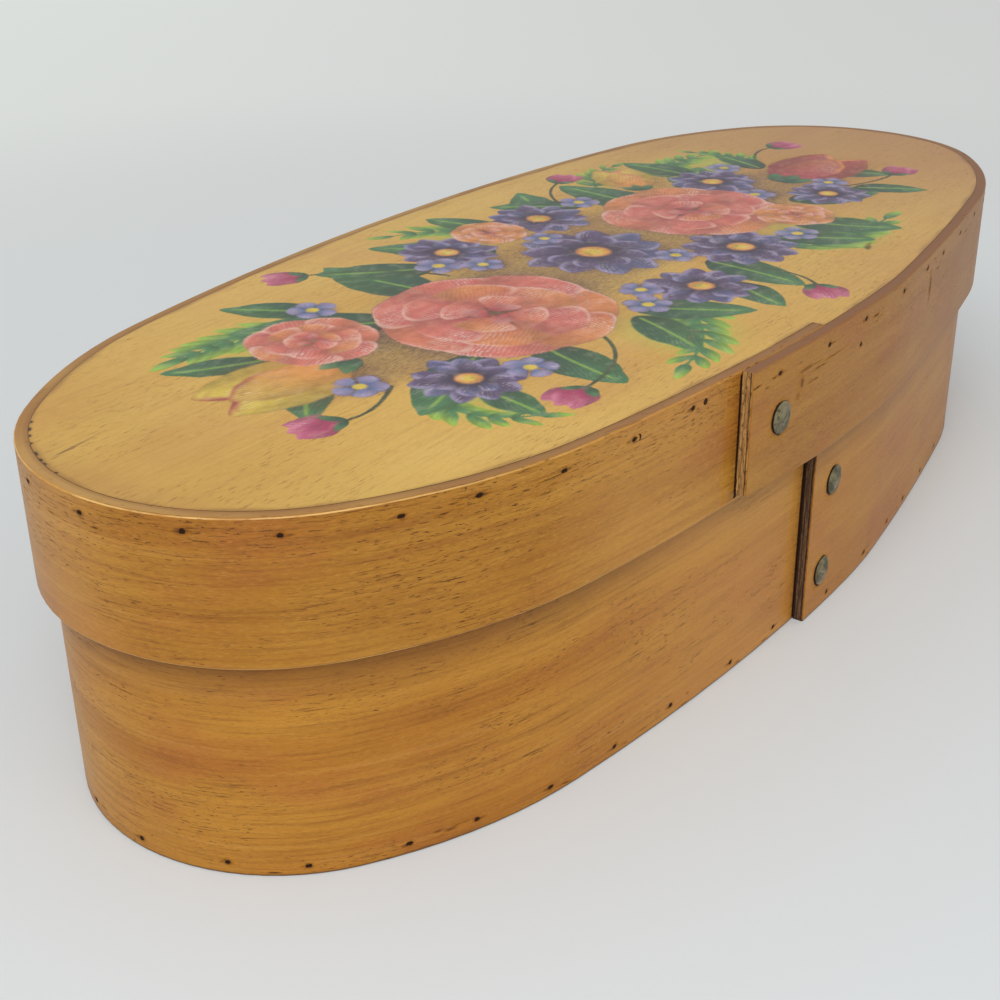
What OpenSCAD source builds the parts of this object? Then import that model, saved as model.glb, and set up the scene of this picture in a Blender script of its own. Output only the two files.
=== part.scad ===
// An oval bentwood box with a lift-off lid and a painted top.
// Each side is one strip of thin three-ply bent round an oval board. The strip laps over its own
// start, is riveted there, and is nailed into the edge of the board.
// Lengths are millimetres. X is the length, the laps are at the front (-Y), Z is up.

/* [Oval] */
// Half the length of the closed box, outside the lid band
half_length = 200; // [160:1:240]
// Half the width of the closed box, outside the lid band
half_width = 80; // [72:1:92]
// Radius of the round ends, outside the lid band
tip_radius = 57.6; // [50:0.1:64]
// Half the turn that a round end makes, in degrees
tip_turn = 54.4; // [45:0.1:60]
// Where a long side begins, in degrees from the length of the box
side_turn = 80.4; // [76:0.1:83]

/* [Heights] */
// Height of the closed box
total_height = 89; // [75:0.5:120]
// Depth of the lid band
lid_depth = 34; // [26:0.5:44]
// Play between the lid board and the rim of the base
rest_gap = 0.3; // [0.1:0.05:1]

/* [Bands] */
// Thickness of the three-ply strip
band_thickness = 3.2; // [2.4:0.1:4]
// Play between the base band and the lid band, on each side
lid_play = 0.6; // [0.4:0.05:1.5]
// Hairline left between the two layers of a lap
layer_gap = 0.1; // [0.05:0.05:0.3]
// Worn round on the outer top edge of the lid band
rim_round = 0.6; // [0.3:0.1:1.5]
// Eased round on the other free edges of a band
edge_round = 0.5; // [0.2:0.1:0.8]

/* [Laps] */
// Where the outer end of the lid strip is, along X
lid_lap_start = -67; // [-80:0.5:-60]
// Length of the lid lap
lid_lap_length = 41; // [34:0.5:44]
// From the end of the lid lap to the start of the base lap, so that the double layers stay apart
lap_spacing = 3.6; // [2:0.1:5]
// Length of the base lap
base_lap_length = 26; // [24:0.5:30]
// From the end of the base lap to where both strips start to come back to the oval
return_spacing = 3.4; // [1:0.1:6]
// How tightly a strip bends back to the oval, over 1
return_bend = 1.7; // [1.4:0.1:2]
// How much the lower corner of the lid lap is trimmed
lap_trim = 2.2; // [0:0.1:3]

/* [Boards] */
// Thickness of the lid board
lid_board_thickness = 7; // [5:0.1:9]
// Thickness of the base board
base_board_thickness = 6; // [5:0.1:8]
// Seam between a board and its band
seam = 0.1; // [0.1:0.05:0.4]
// Small round on both edges of that seam
board_round = 0.2; // [0.1:0.1:0.8]

/* [Rivets] */
// Diameter of the domed head
head_diameter = 8.4; // [7:0.1:11]
// Height of the whole head
head_height = 1; // [0.8:0.1:2.5]
// Height of the straight rim of the head
head_rim = 0.3; // [0.2:0.05:0.6]
// Diameter of the shank
shank_diameter = 3; // [2:0.1:4]
// Diameter of the end that is spread inside
spread_diameter = 5.2; // [4.6:0.1:7]
// Thickness of the spread end
spread_thickness = 0.7; // [0.4:0.1:1]
// Play round the shank and the spread end
rivet_play = 0.1; // [0.05:0.05:0.2]
// From the outer end of the lid strip to the lid rivet
lid_rivet_inset = 14.4; // [8:0.1:25]
// From the top of the box down to the lid rivet
lid_rivet_drop = 15.7; // [13:0.1:20]
// From the outer end of the base strip to the upper base rivet
upper_rivet_inset = 12.8; // [8:0.1:16]
// From the edge of the lid down to the upper base rivet
upper_rivet_drop = 15.6; // [8:0.1:20]
// From the outer end of the base strip to the lower base rivet
lower_rivet_inset = 9.5; // [8:0.1:16]
// From the bottom up to the lower base rivet
lower_rivet_rise = 12.4; // [11:0.1:16]

/* [Nails] */
// Diameter of a nail
nail_diameter = 1.2; // [0.8:0.1:1.6]
// Diameter of a nail head
nail_head = 1.6; // [1.6:0.1:3]
// Thickness of a nail head
nail_head_thickness = 0.4; // [0.2:0.1:0.8]
// Length of a nail
nail_length = 14; // [11:0.5:20]
// Play round a nail
nail_play = 0.05; // [0.02:0.01:0.1]
// Usual distance from nail to nail
nail_spacing = 24; // [16:1:36]
// How far a hand-set nail wanders from an even spacing
nail_wander = 1.6; // [0:0.1:2.5]

/* [Colours] */
// Varnished band
band_colour = [0.67, 0.45, 0.24];
// Varnished board
board_colour = [0.80, 0.66, 0.40];
// Aged brass of the rivets
rivet_colour = [0.45, 0.42, 0.30];
// Darkened steel of the nails
nail_colour = [0.18, 0.11, 0.07];

/* [Hidden] */
$fa = 1;
$fs = 0.4;

lid_low = total_height - lid_depth;
lid_board_low = total_height - lid_board_thickness;
base_rim = lid_board_low - rest_gap;
base_inset = band_thickness + lid_play;
lid_nail_height = total_height - lid_board_thickness / 2;
base_nail_height = base_board_thickness / 2;
lid_rivet_height = total_height - lid_rivet_drop;
upper_rivet_height = lid_low - upper_rivet_drop;

// The outer layer of a lap lies one layer out from the oval.
lap_step = band_thickness + layer_gap;
lap_thickness = lap_step + band_thickness;
lid_lap_end = lid_lap_start + lid_lap_length;
base_lap_start = lid_lap_end + lap_spacing;
base_lap_end = base_lap_start + base_lap_length;
return_start = base_lap_end + return_spacing;

function dir(angle) = [cos(angle), sin(angle)];
function flip_x(v) = [-v[0], v[1]];
function flip_y(v) = [v[0], -v[1]];

// Each quarter of the oval has a tip, a shoulder and a side arc, each tangent to the next. Their
// radii follow from the length and the width.
reach_x = half_length - tip_radius;
reach_y = half_width - tip_radius;
spread = cos(tip_turn) * (1 - sin(side_turn)) - cos(side_turn) * (1 - sin(tip_turn));
tip_shift = (reach_x * (1 - sin(side_turn)) - reach_y * cos(side_turn)) / spread;
side_shift = (reach_y * cos(tip_turn) - reach_x * (1 - sin(tip_turn))) / spread;
shoulder_radius = tip_radius + tip_shift;
side_radius = shoulder_radius + side_shift;
tip_centre = [reach_x, 0];
shoulder_centre = tip_centre - tip_shift * dir(tip_turn);
side_centre = shoulder_centre - side_shift * dir(side_turn);
front_centre = flip_y(side_centre);

function front_angle(x) = asin(x / (side_radius + lap_step)) - 90;

// Past its lap a strip comes back to the oval in a tight and a slack bend.
return_angle = front_angle(return_start);
tight_shift = return_bend * lap_step / (1 - cos(-side_turn - return_angle));
slack_shift = (2 * tight_shift - lap_step) / (2 * (return_bend - 1));
tight_centre = front_centre + tight_shift * dir(return_angle);
slack_centre = front_centre - slack_shift * dir(-side_turn);
bend_line = tight_centre - slack_centre;
bend_angle = atan2(bend_line[1], bend_line[0]);

// The path of a strip, as arcs of [centre, radius, from, to], from its outer end at "start" along
// the front, anticlockwise round the box, to its inner end at "stop".
function strip_path(start, stop) = [
    [front_centre, side_radius + lap_step, front_angle(start), return_angle],
    [tight_centre, side_radius + lap_step - tight_shift, return_angle, bend_angle],
    [slack_centre, side_radius + slack_shift, bend_angle, -side_turn],
    [flip_y(shoulder_centre), shoulder_radius, -side_turn, -tip_turn],
    [tip_centre, tip_radius, -tip_turn, tip_turn],
    [shoulder_centre, shoulder_radius, tip_turn, side_turn],
    [side_centre, side_radius, side_turn, 180 - side_turn],
    [flip_x(shoulder_centre), shoulder_radius, 180 - side_turn, 180 - tip_turn],
    [-tip_centre, tip_radius, 180 - tip_turn, 180 + tip_turn],
    [-shoulder_centre, shoulder_radius, 180 + tip_turn, 180 + side_turn],
    [front_centre, side_radius, 180 + side_turn, 360 + front_angle(stop)]
];

function on_arc(arc, offset, angle) = arc[0] + (arc[1] + offset) * dir(angle);

// Moves by v in a coarse and a fine step, so that no digit is lost and arcs meet exactly.
module place(v) {
    coarse = [for (x = v) round(x * 100) / 100];
    translate(coarse) translate(v - coarse) children();
}

// Everything on one side of the upright plane that crosses the arc at an angle: ahead of it,
// anticlockwise, with side = 0, and behind it with side = 1.
module half_space(arc, angle, side) {
    far = 4 * side_radius;
    place(on_arc(arc, 0, angle)) rotate([0, 0, angle])
        translate([-far, -far * side, -far]) cube([2 * far, far, 2 * far]);
}

// Sweeps a section along one arc, "offset" outside it.
module along(arc, offset) {
    intersection() {
        place(arc[0]) rotate_extrude() place([arc[1] + offset, 0]) children();
        half_space(arc, arc[2], 0);
        half_space(arc, arc[3], 1);
    }
}

// Puts its children on an arc at an angle, with their Z axis pointing inwards through the band.
module inward(arc, offset, angle, z) {
    translate([0, 0, z]) translate(on_arc(arc, offset, angle)) rotate([0, -90, angle]) children();
}

// Puts its children on the outer layer of a lap, at x along the front.
module on_lap(x, offset, z) {
    inward(strip_path(x, x)[0], offset, front_angle(x), z) children();
}

// Waste outside a rounded corner that points to +X +Y and is centred on the origin.
module corner_waste(r) {
    difference() {
        square(r + 1);
        circle(r);
    }
}

// Cross-section of a band, from its outer face inwards. Its corners are rounded, in this order:
// outer top, inner top, inner bottom, outer bottom.
module band_section(low, high, rounds) {
    difference() {
        translate([-band_thickness, low]) square([band_thickness, high - low]);
        translate([-rounds[0], high - rounds[0]]) corner_waste(rounds[0]);
        translate([rounds[1] - band_thickness, high - rounds[1]])
            mirror([1, 0]) corner_waste(rounds[1]);
        translate([rounds[2] - band_thickness, low + rounds[2]])
            rotate(180) corner_waste(rounds[2]);
        translate([-rounds[3], low + rounds[3]]) mirror([0, 1]) corner_waste(rounds[3]);
    }
}

// The base band meets its board at the bottom, and the lid band at the top.
module base_section() {
    band_section(0, base_rim, [edge_round, edge_round, board_round, edge_round]);
}

module lid_section() {
    band_section(lid_low, total_height, [rim_round, board_round, edge_round, edge_round]);
}

// A board fills its band: a ring along the path of the strip, with both edges eased, round a
// plain core that comes close to the edge where two arcs meet. It has a step where the inner end
// of the strip stops.
module board(stop, offset, low, high) {
    ring = tip_radius / 2;
    edge = offset - band_thickness - seam;
    path = strip_path(stop + 2 * seam, stop + 2 * seam);
    for (arc = path)
        along(arc, edge) difference() {
            translate([-ring, low]) square([ring, high - low]);
            translate([-board_round, high - board_round]) corner_waste(board_round);
            translate([-board_round, low + board_round]) mirror([0, 1]) corner_waste(board_round);
        }
    translate([0, 0, low]) linear_extrude(high - low)
        polygon([for (k = [0:len(path) - 1]) each [
            on_arc(path[k], edge - 2 * board_round - (k > 0 ? 0 : lap_step), path[k][2]),
            on_arc(path[k], edge - ring / 2, (path[k][2] + path[k][3]) / 2)
        ]]);
}

// One hand-set nail, or the hole for it when "play" is not zero.
module nail(play) {
    out = play > 0 ? 1 : 0;
    translate([0, 0, nail_head_thickness / 2])
        cylinder(d = nail_diameter + 2 * play, h = nail_length - nail_head_thickness / 2 + play);
    translate([0, 0, -out])
        cylinder(d = nail_head + 2 * play, h = out + nail_head_thickness + play);
}

// All nails of one band, spaced along each arc of its outer face.
module nails(start, offset, height, play) {
    path = strip_path(start, start);
    for (k = [0:len(path) - 1]) {
        arc = path[k];
        turn = arc[3] - arc[2];
        count = max(1, round(turn * PI / 180 * arc[1] / nail_spacing));
        for (i = [0:count - 1]) {
            wander = nail_wander * sin(137 * (3 * k + i)) / arc[1] * 180 / PI;
            rise = nail_wander / 4 * sin(211 * (2 * k + i));
            inward(arc, offset, arc[2] + turn * (i + 0.5) / count + wander, height + rise)
                nail(play);
        }
    }
}

// A rivet: domed head outside, shank through both layers, end spread flush with the inside.
module rivet() {
    dome = head_height - head_rim;
    ball = (pow(head_diameter / 2, 2) + pow(dome, 2)) / (2 * dome);
    rotate([180, 0, 0]) rotate_extrude() intersection() {
        translate([0, head_height - ball]) circle(ball);
        square([head_diameter / 2, head_height]);
    }
    cylinder(d = shank_diameter, h = lap_thickness - rivet_play);
    translate([0, 0, lap_thickness - rivet_play - spread_thickness])
        cylinder(d = spread_diameter, h = spread_thickness);
}

// The hole for a rivet through both layers, with a seat for the spread end.
module rivet_hole() {
    translate([0, 0, -1])
        cylinder(d = shank_diameter + 2 * rivet_play, h = lap_thickness + 2);
    translate([0, 0, lap_thickness - 2 * rivet_play - spread_thickness])
        cylinder(d = spread_diameter + 2 * rivet_play, h = spread_thickness + 1);
}

module at_lid_rivet() {
    on_lap(lid_lap_start + lid_rivet_inset, 0, lid_rivet_height) children();
}

module at_upper_rivet() {
    on_lap(base_lap_start + upper_rivet_inset, -base_inset, upper_rivet_height) children();
}

module at_lower_rivet() {
    on_lap(base_lap_start + lower_rivet_inset, -base_inset, lower_rivet_rise) children();
}

module base_band() {
    color(band_colour) difference() {
        for (arc = strip_path(base_lap_start, base_lap_end))
            along(arc, -base_inset) base_section();
        nails(base_lap_start, -base_inset, base_nail_height, nail_play);
        at_upper_rivet() rivet_hole();
        at_lower_rivet() rivet_hole();
    }
}

module base_board() {
    color(board_colour) difference() {
        board(base_lap_end, -base_inset, 0, base_board_thickness);
        nails(base_lap_start, -base_inset, base_nail_height, nail_play);
    }
}

module base_rivet_upper() {
    color(rivet_colour) at_upper_rivet() rivet();
}

module base_rivet_lower() {
    color(rivet_colour) at_lower_rivet() rivet();
}

module base_nails() {
    color(nail_colour) nails(base_lap_start, -base_inset, base_nail_height, 0);
}

// The outer layer of the lid lap, with its lower corner trimmed to a slant.
module lid_lap_layer(arc) {
    difference() {
        along(arc, 0) lid_section();
        translate([lid_lap_start, 0, lid_low + lap_trim])
            rotate([0, atan(lap_trim / lid_lap_length), 0])
                translate([-lid_lap_length, -half_length, -lid_depth])
                    cube([2 * lid_lap_length, half_length, lid_depth]);
    }
}

module lid_band() {
    path = strip_path(lid_lap_start, lid_lap_end);
    color(band_colour) difference() {
        union() {
            lid_lap_layer(path[0]);
            for (k = [1:len(path) - 1])
                along(path[k], 0) lid_section();
        }
        nails(lid_lap_start, 0, lid_nail_height, nail_play);
        at_lid_rivet() rivet_hole();
    }
}

module lid_board() {
    color(board_colour) difference() {
        board(lid_lap_end, 0, lid_board_low, total_height);
        nails(lid_lap_start, 0, lid_nail_height, nail_play);
    }
}

module lid_rivet() {
    color(rivet_colour) at_lid_rivet() rivet();
}

module lid_nails() {
    color(nail_colour) nails(lid_lap_start, 0, lid_nail_height, 0);
}

base_band();
base_board();
base_rivet_upper();
base_rivet_lower();
base_nails();
lid_band();
lid_board();
lid_rivet();
lid_nails();
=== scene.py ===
import math

import bpy
import numpy as np
from mathutils import Euler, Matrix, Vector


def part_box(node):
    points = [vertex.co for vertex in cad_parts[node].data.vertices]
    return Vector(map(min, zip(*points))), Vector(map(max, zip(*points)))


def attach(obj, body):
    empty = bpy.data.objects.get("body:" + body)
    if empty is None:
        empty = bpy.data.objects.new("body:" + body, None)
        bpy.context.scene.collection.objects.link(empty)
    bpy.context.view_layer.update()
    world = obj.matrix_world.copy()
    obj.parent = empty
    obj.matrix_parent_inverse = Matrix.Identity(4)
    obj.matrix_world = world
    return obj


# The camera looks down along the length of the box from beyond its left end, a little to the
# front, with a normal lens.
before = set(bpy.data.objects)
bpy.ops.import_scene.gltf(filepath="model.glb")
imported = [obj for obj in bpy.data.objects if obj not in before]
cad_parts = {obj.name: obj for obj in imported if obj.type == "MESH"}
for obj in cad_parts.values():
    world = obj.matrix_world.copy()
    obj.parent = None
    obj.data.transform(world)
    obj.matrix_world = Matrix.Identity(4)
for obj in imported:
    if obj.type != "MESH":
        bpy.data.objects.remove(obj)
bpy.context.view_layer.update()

camera_data = bpy.data.cameras.new("camera")
camera_data.sensor_width = 36
camera_data.lens = 54.2
camera_data.clip_start = 0.01
camera = bpy.data.objects.new("camera", camera_data)
camera.location = (-0.3708, -0.2213, 0.2155)
camera.rotation_euler = Euler([math.radians(a) for a in (64.333, 0.685, -55.125)])
bpy.context.scene.collection.objects.link(camera)
bpy.context.scene.camera = camera

# The table under the box and the wall behind it are one pale surface, painted paler towards the
# back and on the left as painted light, and the light is that of a bright room: pale all round,
# with one broad soft window on the left and above.
bpy.context.scene.view_settings.view_transform = "Standard"


def srgb(r, g, b):
    """A colour written as it looks, from 0 to 255, as the light it gives off."""
    shares = (r / 255, g / 255, b / 255)
    return tuple(c / 12.92 if c <= 0.04045 else ((c + 0.055) / 1.055) ** 2.4 for c in shares)


class Finish:
    """A material under construction: adds shader nodes and joins them, one call a node."""

    def __init__(self, name):
        self.material = bpy.data.materials.new(name)
        self.material.use_nodes = True
        self.tree = self.material.node_tree
        self.shader = self.tree.nodes["Principled BSDF"]

    def node(self, kind, inputs=(), output=0, **settings):
        made = self.tree.nodes.new(kind)
        for key, value in settings.items():
            setattr(made, key, value)
        for key, value in dict(inputs).items():
            if isinstance(value, bpy.types.NodeSocket):
                self.tree.links.new(value, made.inputs[key])
            else:
                made.inputs[key].default_value = value
        return made.outputs[output]

    def attribute(self, name, output="Vector"):
        return self.node("ShaderNodeAttribute", output=output, attribute_name=name)

    def place(self):
        return self.node("ShaderNodeTexCoord", output="Object")

    def grain(self, vector, scale, shift=(0, 0, 0), detail=3, rough=0.5, bend=0):
        """Cloudy noise, drawn out most along the direction that has the smallest scale."""
        place = {"Vector": vector, "Scale": scale, "Location": shift}
        inputs = {
            "Vector": self.node("ShaderNodeMapping", place),
            "Scale": 1,
            "Detail": detail,
            "Roughness": rough,
            "Distortion": bend,
        }
        return self.node("ShaderNodeTexNoise", inputs)

    def math(self, operation, a, b=0, clamp=False):
        return self.node("ShaderNodeMath", {0: a, 1: b}, operation=operation, use_clamp=clamp)

    def times(self, a, b, clamp=False):
        return self.math("MULTIPLY", a, b, clamp)

    def plus(self, a, b, clamp=False):
        return self.math("ADD", a, b, clamp)

    def minus(self, a, b):
        return self.math("SUBTRACT", a, b)

    def ramp(self, value, low, high, out_low=0, out_high=1):
        """Rises smoothly from out_low to out_high as the value goes from low to high."""
        inputs = {"Value": value, 1: low, 2: high, 3: out_low, 4: out_high}
        return self.node("ShaderNodeMapRange", inputs, interpolation_type="SMOOTHSTEP")

    def blend(self, factor, a, b):
        made = self.tree.nodes.new("ShaderNodeMix")
        made.data_type = "RGBA"
        for socket, value in zip((made.inputs[0], made.inputs[6], made.inputs[7]), (factor, a, b)):
            if isinstance(value, bpy.types.NodeSocket):
                self.tree.links.new(value, socket)
            else:
                socket.default_value = value if isinstance(value, (int, float)) else (*value, 1)
        return made.outputs[2]

    def layers(self, colour, rows, share=None):
        """Lays tones over a colour, from rows of (value, from, to, strength, tone)."""
        for value, low, high, strength, tone in rows:
            factor = self.ramp(value, low, high, 0, strength)
            if share is not None:
                factor = self.times(factor, share)
            colour = self.blend(factor, colour, tone)
        return colour

    def split(self, vector):
        made = self.tree.nodes.new("ShaderNodeSeparateXYZ")
        self.tree.links.new(vector, made.inputs[0])
        return made.outputs

    def facing(self):
        """The surface's own direction in the box's frame, as x, y and z."""
        return self.split(self.node("ShaderNodeNewGeometry", output="Normal"))

    def relief(self, height, depth):
        """Raises the surface by up to a depth in metres where the height is 1."""
        inputs = {"Height": height, "Distance": depth, "Strength": 1}
        bump = self.node("ShaderNodeBump", inputs, "Normal")
        self.tree.links.new(bump, self.shader.inputs["Normal"])

    def finish(self, colour, rough):
        self.tree.links.new(colour, self.shader.inputs["Base Color"])
        if isinstance(rough, bpy.types.NodeSocket):
            self.tree.links.new(rough, self.shader.inputs["Roughness"])
        else:
            self.shader.inputs["Roughness"].default_value = rough
        return self.material


FLOOR_REACH = 6
FLOOR_ROUGHNESS = 0.9
FLOOR_FRONT = srgb(223, 228, 230)
FLOOR_BACK = srgb(237, 241, 241)
WALL_LEFT = srgb(220, 224, 221)
WALL_RIGHT = srgb(206, 207, 206)
WALL_FOOT = (0.25, 0.8)
ROOM_LIGHT = 0.5

floor_mesh = bpy.data.meshes.new("floor")
floor_corners = ((-1, -1), (1, -1), (1, 1), (-1, 1))
floor_mesh.from_pydata(
    [(x * FLOOR_REACH, y * FLOOR_REACH, 0) for x, y in floor_corners], [], [(0, 1, 2, 3)])
floor = bpy.data.objects.new("floor", floor_mesh)
bpy.context.scene.collection.objects.link(floor)
paper = Finish("floor_paper")
paper_place = paper.node("ShaderNodeNewGeometry", output="Position")


def across_floor(direction, low, high, near, far):
    """A colour that changes softly across the floor along a direction."""
    inputs = {0: paper_place, 1: direction}
    side = paper.node("ShaderNodeVectorMath", inputs, "Value", operation="DOT_PRODUCT")
    return paper.blend(paper.ramp(side, low, high), near, far)


# Further off than the wall's foot, what the camera and the gloss see is the pale wall.
paper_distance = paper.node("ShaderNodeVectorMath", {0: paper_place}, "Value", operation="LENGTH")
paper_seen = paper.math(
    "MAXIMUM",
    paper.node("ShaderNodeLightPath", output="Is Camera Ray"),
    paper.node("ShaderNodeLightPath", output="Is Glossy Ray"),
)
# Painted light: the wall is paler on the left, towards the window, and darker on the right.
wall_colour = across_floor((0.57, -0.82, 0), -0.8, 0.6, WALL_LEFT, WALL_RIGHT)
wall_and_floor = paper.node("ShaderNodeMixShader", {
    0: paper.times(paper.ramp(paper_distance, *WALL_FOOT), paper_seen),
    1: paper.shader.outputs["BSDF"],
    2: paper.node("ShaderNodeEmission", {"Color": wall_colour}),
})
paper_output = paper.tree.nodes["Material Output"]
paper.tree.links.new(wall_and_floor, paper_output.inputs["Surface"])
# Painted light: the floor is paler towards the far side, making up for the lamps' light falling
# off there.
floor_colour = across_floor((0.82, 0.57, 0), -0.2, 0.4, FLOOR_FRONT, FLOOR_BACK)
floor_mesh.materials.append(paper.finish(floor_colour, FLOOR_ROUGHNESS))

room = bpy.data.worlds.new("room")
room.use_nodes = True
room.node_tree.nodes["Background"].inputs["Color"].default_value = (1, 1, 1, 1)
room.node_tree.nodes["Background"].inputs["Strength"].default_value = ROOM_LIGHT
bpy.context.scene.world = room


def window(name, size, watts, place, aim):
    """A broad soft lamp at a place, turned towards a point."""
    data = bpy.data.lights.new(name, "AREA")
    data.shape = "DISK"
    data.size = size
    data.energy = watts
    lamp = bpy.data.objects.new(name, data)
    lamp.location = place
    away = np.array(place) - np.array(aim)
    lamp.rotation_euler = (
        math.atan2(math.hypot(away[0], away[1]), away[2]),
        0,
        math.atan2(away[1], away[0]) + math.pi / 2,
    )
    bpy.context.scene.collection.objects.link(lamp)


window("window", 1.0, 10.5, (-0.95, -0.4, 0.98), (-0.05, 0, 0.05))
window("room_side", 1.6, 4.6, (-0.55, -1.6, 0.7), (0, 0, 0.05))

# The base band is one strip of three-ply, varnished outside, bent round the base board and lapped
# on the front. Its grain runs along the strip, so the strip is measured along its own length.
MM = 0.001
HALF_LENGTH = 200
HALF_WIDTH = 80
TIP_RADIUS = 57.6
TIP_TURN = math.radians(54.4)
SIDE_TURN = math.radians(80.4)
BAND_THICKNESS = 3.2
BASE_INSET = 3.8
LAP_STEP = 3.3
RETURN_BEND = 1.7
RETURN_START = 7
LID_LAP = (-67, -26)
BASE_LAP = (-22.4, 3.6)


def towards(angle):
    return np.array((math.cos(angle), math.sin(angle)))


def strip_path(lap):
    """The arcs of a strip's outer face as (centre, radius, from, to), in millimetres."""
    reach_x = HALF_LENGTH - TIP_RADIUS
    reach_y = HALF_WIDTH - TIP_RADIUS
    cos_tip, sin_tip = math.cos(TIP_TURN), 1 - math.sin(TIP_TURN)
    cos_side, sin_side = math.cos(SIDE_TURN), 1 - math.sin(SIDE_TURN)
    spread = cos_tip * sin_side - cos_side * sin_tip
    tip_shift = (reach_x * sin_side - reach_y * cos_side) / spread
    side_shift = (reach_y * cos_tip - reach_x * sin_tip) / spread
    shoulder_radius = TIP_RADIUS + tip_shift
    side_radius = shoulder_radius + side_shift
    tip = np.array((reach_x, 0.0))
    shoulder = tip - tip_shift * towards(TIP_TURN)
    side = shoulder - side_shift * towards(SIDE_TURN)
    front = side * (1, -1)

    def front_angle(x):
        return math.asin(x / (side_radius + LAP_STEP)) - math.pi / 2

    turn_back = front_angle(RETURN_START)
    tight = RETURN_BEND * LAP_STEP / (1 - math.cos(-SIDE_TURN - turn_back))
    slack = (2 * tight - LAP_STEP) / (2 * (RETURN_BEND - 1))
    tight_centre = front + tight * towards(turn_back)
    slack_centre = front - slack * towards(-SIDE_TURN)
    bend = math.atan2(*(tight_centre - slack_centre)[::-1])
    half, full = math.pi, 2 * math.pi
    return [
        (front, side_radius + LAP_STEP, front_angle(lap[0]), turn_back),
        (tight_centre, side_radius + LAP_STEP - tight, turn_back, bend),
        (slack_centre, side_radius + slack, bend, -SIDE_TURN),
        (shoulder * (1, -1), shoulder_radius, -SIDE_TURN, -TIP_TURN),
        (tip, TIP_RADIUS, -TIP_TURN, TIP_TURN),
        (shoulder, shoulder_radius, TIP_TURN, SIDE_TURN),
        (side, side_radius, SIDE_TURN, half - SIDE_TURN),
        (shoulder * (-1, 1), shoulder_radius, half - SIDE_TURN, half - TIP_TURN),
        (-tip, TIP_RADIUS, half - TIP_TURN, half + TIP_TURN),
        (-shoulder, shoulder_radius, half + TIP_TURN, half + SIDE_TURN),
        (front, side_radius, half + SIDE_TURN, full + front_angle(lap[1])),
    ]


def along_strip(plan, lap, inset):
    """For points in plan, how far along the strip and how deep under its outer face each lies."""
    run = np.zeros(len(plan))
    depth = np.zeros(len(plan))
    miss = np.full(len(plan), np.inf)
    start = 0
    for centre, radius, low, high in strip_path(lap):
        out = plan - centre
        turn = (np.arctan2(out[:, 1], out[:, 0]) - low + math.pi) % (2 * math.pi) - math.pi + low
        under = radius - inset - np.hypot(out[:, 0], out[:, 1])
        off = np.maximum(low - turn, turn - high) * radius
        off = np.maximum(off, np.maximum(-under, under - BAND_THICKNESS))
        nearer = off < miss
        run = np.where(nearer, start + (turn - low) * radius, run)
        depth = np.where(nearer, under, depth)
        miss = np.minimum(off, miss)
        start += (high - low) * radius
    return run, depth, start


def measure_strip(node, lap, inset):
    """Writes each vertex's place on the strip, along it, under its face and up, and marks the
    faces of its two ends."""
    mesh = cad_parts[node].data
    co = np.zeros(len(mesh.vertices) * 3)
    mesh.vertices.foreach_get("co", co)
    co = co.reshape(-1, 3) / MM
    run, depth, length = along_strip(co[:, :2], lap, inset)
    place = np.stack([run, depth, co[:, 2]], 1) * MM
    strip = mesh.attributes.new("strip", "FLOAT_VECTOR", "POINT")
    strip.data.foreach_set("vector", place.ravel())
    at_end = (np.abs(run) < 0.05) | (np.abs(run - length) < 0.05)
    cut = [float(all(at_end[v] for v in face.vertices)) for face in mesh.polygons]
    mesh.attributes.new("cut", "FLOAT", "FACE").data.foreach_set("value", cut)


def dress(node, finish):
    """Gives a piece of the box its finish."""
    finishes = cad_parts[node].data.materials
    finishes.clear()
    finishes.append(finish)


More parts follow.
